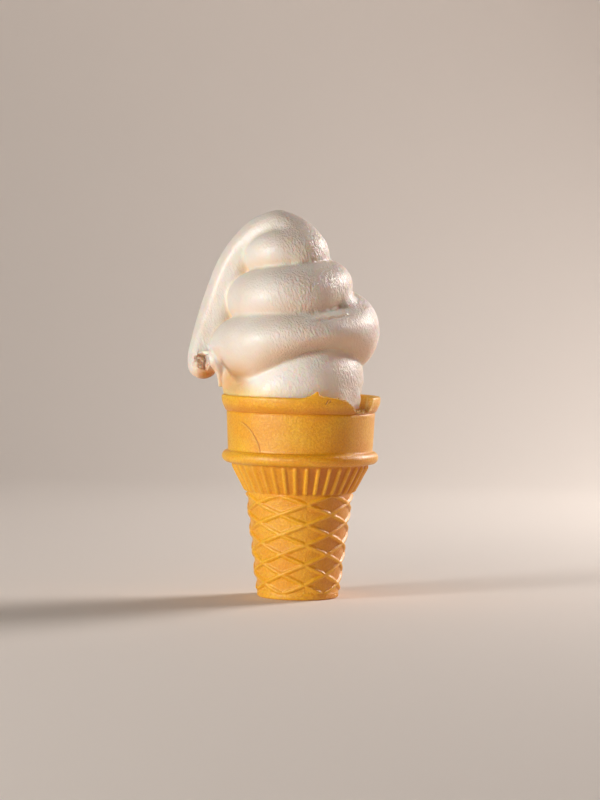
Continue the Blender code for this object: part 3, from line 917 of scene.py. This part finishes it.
def clearTheCup(points):
    # keep the ice cream inside the cup's wall, and on top of its edge where it spills over
    gap = cream["gap"]
    radius = np.hypot(points[:, 0], points[:, 1])
    level = points[:, 2]
    azimuth = np.degrees(np.arctan2(points[:, 0], -points[:, 1]))
    columns, _, inside, _ = waferColumns()
    smooth = np.convolve(np.pad(inside, 6, mode="edge"), np.full(13, 1 / 13), mode="valid")
    edge = np.interp(azimuth, columns, np.maximum(smooth, inside)) + gap
    wall = insideRadius(np.minimum(level, 75.7)) - gap
    low = (level < edge) & (radius > wall)
    lift = low & (edge - level < (radius - wall) * 0.8)
    points[lift, 2] = edge[lift]
    push = low & ~lift
    shrink = wall[push] / radius[push]
    points[push, 0] *= shrink
    points[push, 1] *= shrink


def smoothStep(value, low, high):
    share = np.clip((value - low) / (high - low), 0.0, 1.0)
    return share * share * (3 - 2 * share)


def distanceToPath(x, z, path):
    near = np.full(len(x), 1e9)
    for (x0, z0), (x1, z1) in zip(path[:-1], path[1:]):
        along = ((x - x0) * (x1 - x0) + (z - z0) * (z1 - z0)) / ((x1 - x0) ** 2 + (z1 - z0) ** 2)
        along = np.clip(along, 0.0, 1.0)
        near = np.minimum(near, np.hypot(x - x0 - along * (x1 - x0), z - z0 - along * (z1 - z0)))
    return near


def tearTheEnd(points):
    # the tail's end was torn from the nozzle: a rough face, deepest at its upper right under the peeled edge
    (middleX, middleZ), (halfX, halfZ) = cream["tornMiddle"], cream["tornSize"]
    across = (points[:, 0] - middleX) / halfX
    along = (points[:, 2] - middleZ) / halfZ
    inside = (across**2 + along**2 < 1.7) & (points[:, 1] < 1.5)
    torn = np.zeros(len(points))
    for k in np.flatnonzero(inside):
        place = Vector(points[k])
        edge = 0.32 * noiseAt.noise(place * 0.55) + 0.14 * noiseAt.noise(place * 1.6)
        reach = math.hypot(across[k], along[k]) + edge
        if reach > 1.0:
            continue
        toLip = 0.62 * across[k] + 0.78 * along[k]
        deep = float(smoothStep(toLip, -1.1, 0.7))
        wall = (1.0 - reach) ** (1.15 - 0.85 * deep)
        rough = noiseAt.fractal(place * 0.7, 1.0, 2.0, 3) * 0.7 + noiseAt.noise(place * 1.9) * 0.15
        points[k, 1] += cream["tornDepth"] * (0.10 + 0.90 * deep) * wall + rough * min(1.0, (1.0 - reach) * 2.4)
        torn[k] = min(1.0, (1.0 - reach) * 3.0)
    near = distanceToPath(points[:, 0], points[:, 2], cream["tornChannel"])
    channel = inside & (near < 2.2)
    points[channel, 1] += 1.7 * np.exp(-((near[channel] / 0.6) ** 2))
    torn[channel] = np.maximum(torn[channel], np.exp(-((near[channel] / 0.8) ** 2)))
    return torn


def peelTheSkin(points):
    # a thin ridge of skin stands off the second turn, with a dark slit under it
    path, (height, half) = cream["peel"], cream["peelSize"]
    front = points[:, 1] < -8.0
    near = distanceToPath(points[:, 0], points[:, 2], path)
    below = distanceToPath(points[:, 0], points[:, 2] + 0.95, path)
    ends = smoothStep(points[:, 0], path[0][0], path[0][0] + 7.0) * (1.0 - smoothStep(points[:, 0], 15.5, 18.4))
    uneven = np.array([0.75 + 0.5 * noiseAt.noise(Vector((point[0] * 0.5, 0.0, 0.0))) for point in points[front]])
    lift = np.zeros(len(points))
    lift[front] = ends[front] * uneven * height * np.exp(-((near[front] / half) ** 2))
    lift[front] -= ends[front] * uneven * 0.7 * np.exp(-((below[front] / 0.40) ** 2))
    points[:, 1] -= lift * 0.8
    points[:, 2] += lift * 0.45
    # the fold is a slit at its upper end and widens into a soft dip at its lower end; its share is given back to paint
    # shade along it
    near = distanceToPath(points[:, 0], points[:, 2], cream["fold"])
    low = smoothStep(points[:, 0], -28.0, -23.0)
    fade = smoothStep(points[:, 0], -30.8, -29.4) * (1.0 - smoothStep(points[:, 0], -24.0, -19.6))
    fold = (points[:, 1] < 0.0) * fade * np.exp(-((near / (0.58 + 0.9 * low)) ** 2))
    points[:, 1] += cream["foldDepth"] * fold * (1.0 - 0.4 * low)
    return fold * (1.0 - 0.3 * low)


def blur(points, edges, rounds, share=None):
    # move points towards the middle of their neighbours, as far as their share allows
    count = len(points)
    first, second = edges[:, 0], edges[:, 1]
    degree = np.maximum(np.bincount(edges.ravel(), minlength=count), 1)
    blurred = points.copy()
    for _ in range(rounds):
        for axis in range(3):
            total = np.bincount(first, blurred[second, axis], count) + np.bincount(second, blurred[first, axis], count)
            mean = total / degree
            blurred[:, axis] = mean if share is None else blurred[:, axis] * (1 - share) + mean * share
    return blurred


def calmShare(points):
    # the crown's front and right are one smooth dome, and the other calm places are blended smooth
    (x, y, z), crown = points.T, cream["crownCalm"]
    dome = smoothStep(x, crown[0], crown[1]) * smoothStep(z, crown[2], crown[3])
    share = dome * (1.0 - smoothStep(y, 6.0, 12.0)) * crown[4]
    for middle, radii, strength in cream["calm"]:
        away = np.sqrt((((points - middle) / radii) ** 2).sum(1))
        share = np.maximum(share, strength * (1.0 - smoothStep(away, 0.55, 1.0)))
    return share


def buildCreamMesh():
    points, faces = [], []
    bodies = [
        ropeRings(),
        pathRings(cream["tail"], 56, 8, cream["tailDepth"], (True,), cream["tailRidges"]),
        pathRings(cream["drip"], 20, 6, 1.0, (True, False)),
        pathRings(cream["corner"], 20, 6, 1.0, (True, False)),
        coreRings(),
    ]
    bodies += [lobeRings(middle, radii) for middle, radii in cream["lobes"]]
    for rings in bodies:
        faces += tubeFaces(len(rings), len(rings[0]), len(points))
        points += [tuple(point) for ring in rings for point in ring * mm]
    draft = meshOf("swirlDraft", points, faces)
    bm = bmesh.new()
    bm.from_mesh(draft)
    bmesh.ops.recalc_face_normals(bm, faces=bm.faces)
    bm.to_mesh(draft)
    bm.free()
    item = addObject("swirlDraft", draft)
    fuse = item.modifiers.new("fuse", "REMESH")
    fuse.mode = "VOXEL"
    fuse.voxel_size = cream["voxel"] * mm
    soften = item.modifiers.new("soften", "SMOOTH")
    soften.factor = 0.5
    soften.iterations = 5
    fused = evaluated(item)

    # thin the hidden plug
    item.modifiers.clear()
    item.data = fused
    hidden = item.vertex_groups.new(name="hidden")
    low = [vertex.index for vertex in fused.vertices if vertex.co.z < cream["plugTop"] * mm]
    hidden.add(low, 1.0, "REPLACE")
    thin = item.modifiers.new("thin", "DECIMATE")
    thin.vertex_group = "hidden"
    thin.ratio = 1.0 - (1.0 - cream["plugKept"]) * len(low) / len(fused.vertices)
    thinned = evaluated(item)
    bpy.data.objects.remove(item)

    # refine the torn end, then work it
    bm = bmesh.new()
    bm.from_mesh(thinned)
    for shrink in (0.0, 1.0):
        spots = np.array([vertex.co for vertex in bm.verts]) / mm
        middle = np.array((cream["tornMiddle"][0], 0.0, cream["tornMiddle"][1]))
        near = np.linalg.norm(spots - middle, axis=1) < cream["tornReach"] - 2.0 * shrink
        front = spots[:, 1] < -8.0
        near |= front & (distanceToPath(spots[:, 0], spots[:, 2], cream["peel"]) < cream["peelReach"] - 0.5 * shrink)
        front = spots[:, 1] < 0.0
        near |= front & (distanceToPath(spots[:, 0], spots[:, 2], cream["fold"]) < 2.4 - 0.6 * shrink)
        bm.verts.index_update()
        fine = [edge for edge in bm.edges if near[edge.verts[0].index] and near[edge.verts[1].index]]
        bmesh.ops.subdivide_edges(bm, edges=fine, cuts=1, use_grid_fill=True)
    bmesh.ops.triangulate(bm, faces=[face for face in bm.faces if len(face.verts) > 4])
    bm.to_mesh(thinned)
    bm.free()
    points = np.empty(len(thinned.vertices) * 3)
    thinned.vertices.foreach_get("co", points)
    points = points.reshape(-1, 3) / mm
    edges = np.empty(len(thinned.edges) * 2, np.int32)
    thinned.edges.foreach_get("vertices", edges)
    edges = edges.reshape(-1, 2)
    points = blur(points, edges, cream["calmRounds"], calmShare(points))
    torn = tearTheEnd(points)
    fold = peelTheSkin(points)
    clearTheCup(points)
    thinned.vertices.foreach_set("co", (points * mm).ravel())
    thinned.update()
    normals = np.empty(len(thinned.vertices) * 3)
    thinned.vertices.foreach_get("normal", normals)
    normals = normals.reshape(-1, 3)
    # how deep each point lies in a hollow; the colour below uses it to paint shade in creases
    hollow = np.einsum("ij,ij->i", blur(points, edges, 24) - points, normals)
    # how much a point faces down above the cup's edge, used to paint warm bounce light on undersides
    under = smoothStep(-normals[:, 2], 0.0, 0.75) * smoothStep(points[:, 2], 79.0, 81.0)
    for name, values in (("hollow", hollow), ("torn", torn), ("fold", fold), ("under", under)):
        layer = thinned.attributes.new(name, "FLOAT", "POINT")
        layer.data.foreach_set("value", values.astype(np.float32))
    thinned.name = "soft_serve_swirl"
    return thinned


def creamTree():
    # the skin's wrinkles, finer than the swirl: strongest on the front right, smooth on the left
    tree, wires = newTree("creamRelief", ["wrinkle", "wrinkleScale", "lump", "lumpScale", "calmAbove", "finish"])
    kit = Wire(tree)
    place = kit.node("GeometryNodeInputPosition")
    millimetres = kit.node("ShaderNodeVectorMath", {"operation": "SCALE"}, {0: place, "Scale": 1.0 / mm})
    x = kit.node("ShaderNodeSeparateXYZ", {}, {0: millimetres}, output=0)
    z = kit.node("ShaderNodeSeparateXYZ", {}, {0: millimetres}, output=2)
    wrinkle = noise(kit, millimetres, wires["wrinkleScale"], 2.0, 0.6) - 0.5
    lump = noise(kit, millimetres, wires["lumpScale"], 2.0, 0.5) - 0.5
    rough = x.step(-22.0, 4.0, 0.25, 1.0)
    free = z.step(77.0, 79.5)
    height = (wrinkle * wires["wrinkle"] * rough + lump * wires["lump"]) * free * mm
    side = kit.node("GeometryNodeInputNormal")
    push = kit.node("ShaderNodeVectorMath", {"operation": "SCALE"}, {0: side, "Scale": height})
    moved = kit.node("GeometryNodeSetPosition", {}, {"Geometry": wires["Geometry"], "Offset": push})
    closeTree(tree, moved, wires["finish"])
    return tree


def creamFinish():
    finish = bpy.data.materials.new("softServeCream")
    finish.use_nodes = True
    tree = finish.node_tree
    kit = Wire(tree)
    shader = tree.nodes["Principled BSDF"]
    place = kit.node("ShaderNodeTexCoord", {}, {}, output=3)
    x = kit.node("ShaderNodeSeparateXYZ", {}, {0: place}, output=0)
    front = kit.node("ShaderNodeSeparateXYZ", {}, {0: place}, output=1).step(-0.004, 0.003, 1.0, 0.0)
    hollow = kit.node("ShaderNodeAttribute", {"attribute_name": "hollow"}, {}, output=2)
    z = kit.node("ShaderNodeSeparateXYZ", {}, {0: place}, output=2)
    torn = kit.node("ShaderNodeAttribute", {"attribute_name": "torn"}, {}, output=2)
    fold = kit.node("ShaderNodeAttribute", {"attribute_name": "fold"}, {}, output=2)
    under = kit.node("ShaderNodeAttribute", {"attribute_name": "under"}, {}, output=2)
    cloud = noise(kit, place, 90.0, 2.0).step(0.3, 0.7)
    left = x.step(-0.026, 0.004, 1.0, 0.0)
    firstTurn = (z - x * 0.35).step(0.0895, 0.0915, 1.0, 0.0) * x.step(0.010, 0.018, 1.0, 0.3)
    colour = mixColour(kit, cloud, (0.76, 0.69, 0.605, 1.0), (0.79, 0.735, 0.665, 1.0))
    # painted light: the first turn, most on its left and front, is painted whiter where the light falls on it
    colour = mixColour(kit, firstTurn * 0.8, colour, (0.90, 0.87, 0.82, 1.0))
    # painted light: undersides are painted orange for warm light bounced up onto them
    colour = mixColour(kit, under * 0.50, colour, (0.86, 0.56, 0.31, 1.0))
    # painted shade: creases and hollows are painted a warm tint, more on the left
    creaseShade = hollow.step(0.15, 1.0) * (0.20 + 0.22 * left)
    colour = mixColour(kit, creaseShade, colour, (0.92, 0.66, 0.34, 1.0))
    # painted shade and painted reflection: the cream's lowest left, by the rim, is painted yellow for shade lit by
    # warm light from the wafer
    rimShadeAndBounce = left * z.step(0.0765, 0.082, 0.85, 0.0)
    colour = mixColour(kit, rimShadeAndBounce, colour, (0.95, 0.66, 0.20, 1.0))
    # painted shadow: the corner below the second turn's lower left, which the tail shades, is painted brown-orange
    fromX, fromZ = x + 0.0255, z - 0.0815
    corner = kit.math("SQRT", fromX * fromX + fromZ * fromZ).step(0.0015, 0.0090, 0.85, 0.0)
    colour = mixColour(kit, corner * front, colour, (0.72, 0.42, 0.15, 1.0))
    # painted shade: the torn end's hollow is painted a mottled brown
    mottle = noise(kit, place, 900.0, 3.0).step(0.35, 0.62)
    colour = mixColour(kit, torn * (0.28 + 0.40 * mottle), colour, (0.60, 0.37, 0.22, 1.0))
    # painted shade and orange bounce light on the underside of the tail's end
    bulbShadeAndBounce = x.step(-0.0410, -0.0365) * x.step(-0.0335, -0.0320, 1.0, 0.0) * z.step(0.0835, 0.0885, 0.95, 0.0)
    colour = mixColour(kit, bulbShadeAndBounce, colour, (0.60, 0.24, 0.04, 1.0))
    # painted shade: a dark brown line along the fold
    colour = mixColour(kit, fold * 0.75, colour, (0.42, 0.21, 0.09, 1.0))

    # wrinkles lean over the front right; low down only the right side has them
    rough = x.step(-0.020, 0.006) * (1.0 - firstTurn * x.step(0.010, 0.018, 0.85, 0.0))
    turned = kit.node("ShaderNodeMapping", {}, {"Vector": place, "Rotation": (0.0, 0.35, 0.0)})
    tilted = kit.node("ShaderNodeVectorMath", {"operation": "MULTIPLY"}, {0: turned, 1: (1.0, 1.0, 0.42)})
    wrinkles = noise(kit, tilted, 1350.0, 2.0, 0.55).step(0.28, 0.72)
    pores = noise(kit, place, 2300.0, 2.0, 0.6)
    height = wrinkles * (0.28 + 0.66 * rough) + pores * 0.26
    bump = kit.node("ShaderNodeBump", {}, {"Strength": 1.0, "Distance": 0.00027, "Height": height})
    tree.links.new(colour.socket, shader.inputs["Base Color"])
    tree.links.new((0.33 + 0.12 * cloud).socket, shader.inputs["Roughness"])
    tree.links.new(bump.socket, shader.inputs["Normal"])
    shader.inputs["Subsurface Weight"].default_value = 0.80
    shader.inputs["Subsurface Radius"].default_value = (1.0, 0.42, 0.22)
    shader.inputs["Subsurface Scale"].default_value = 0.0035
    shader.inputs["Coat Weight"].default_value = 0.14
    shader.inputs["Coat Roughness"].default_value = 0.26
    return finish


def makeCream():
    finish = creamFinish()
    sizes = {"wrinkle": 0.10, "wrinkleScale": 0.62, "lump": 0.4, "lumpScale": 0.12, "finish": finish}
    swirl = runTree("soft_serve_swirl", buildCreamMesh(), creamTree(), sizes)
    swirl.data.shade_smooth()
    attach(swirl, "root")
    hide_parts("soft_serve")
    print("ice cream made:", len(swirl.data.polygons), "faces")
    return swirl


makeCream()
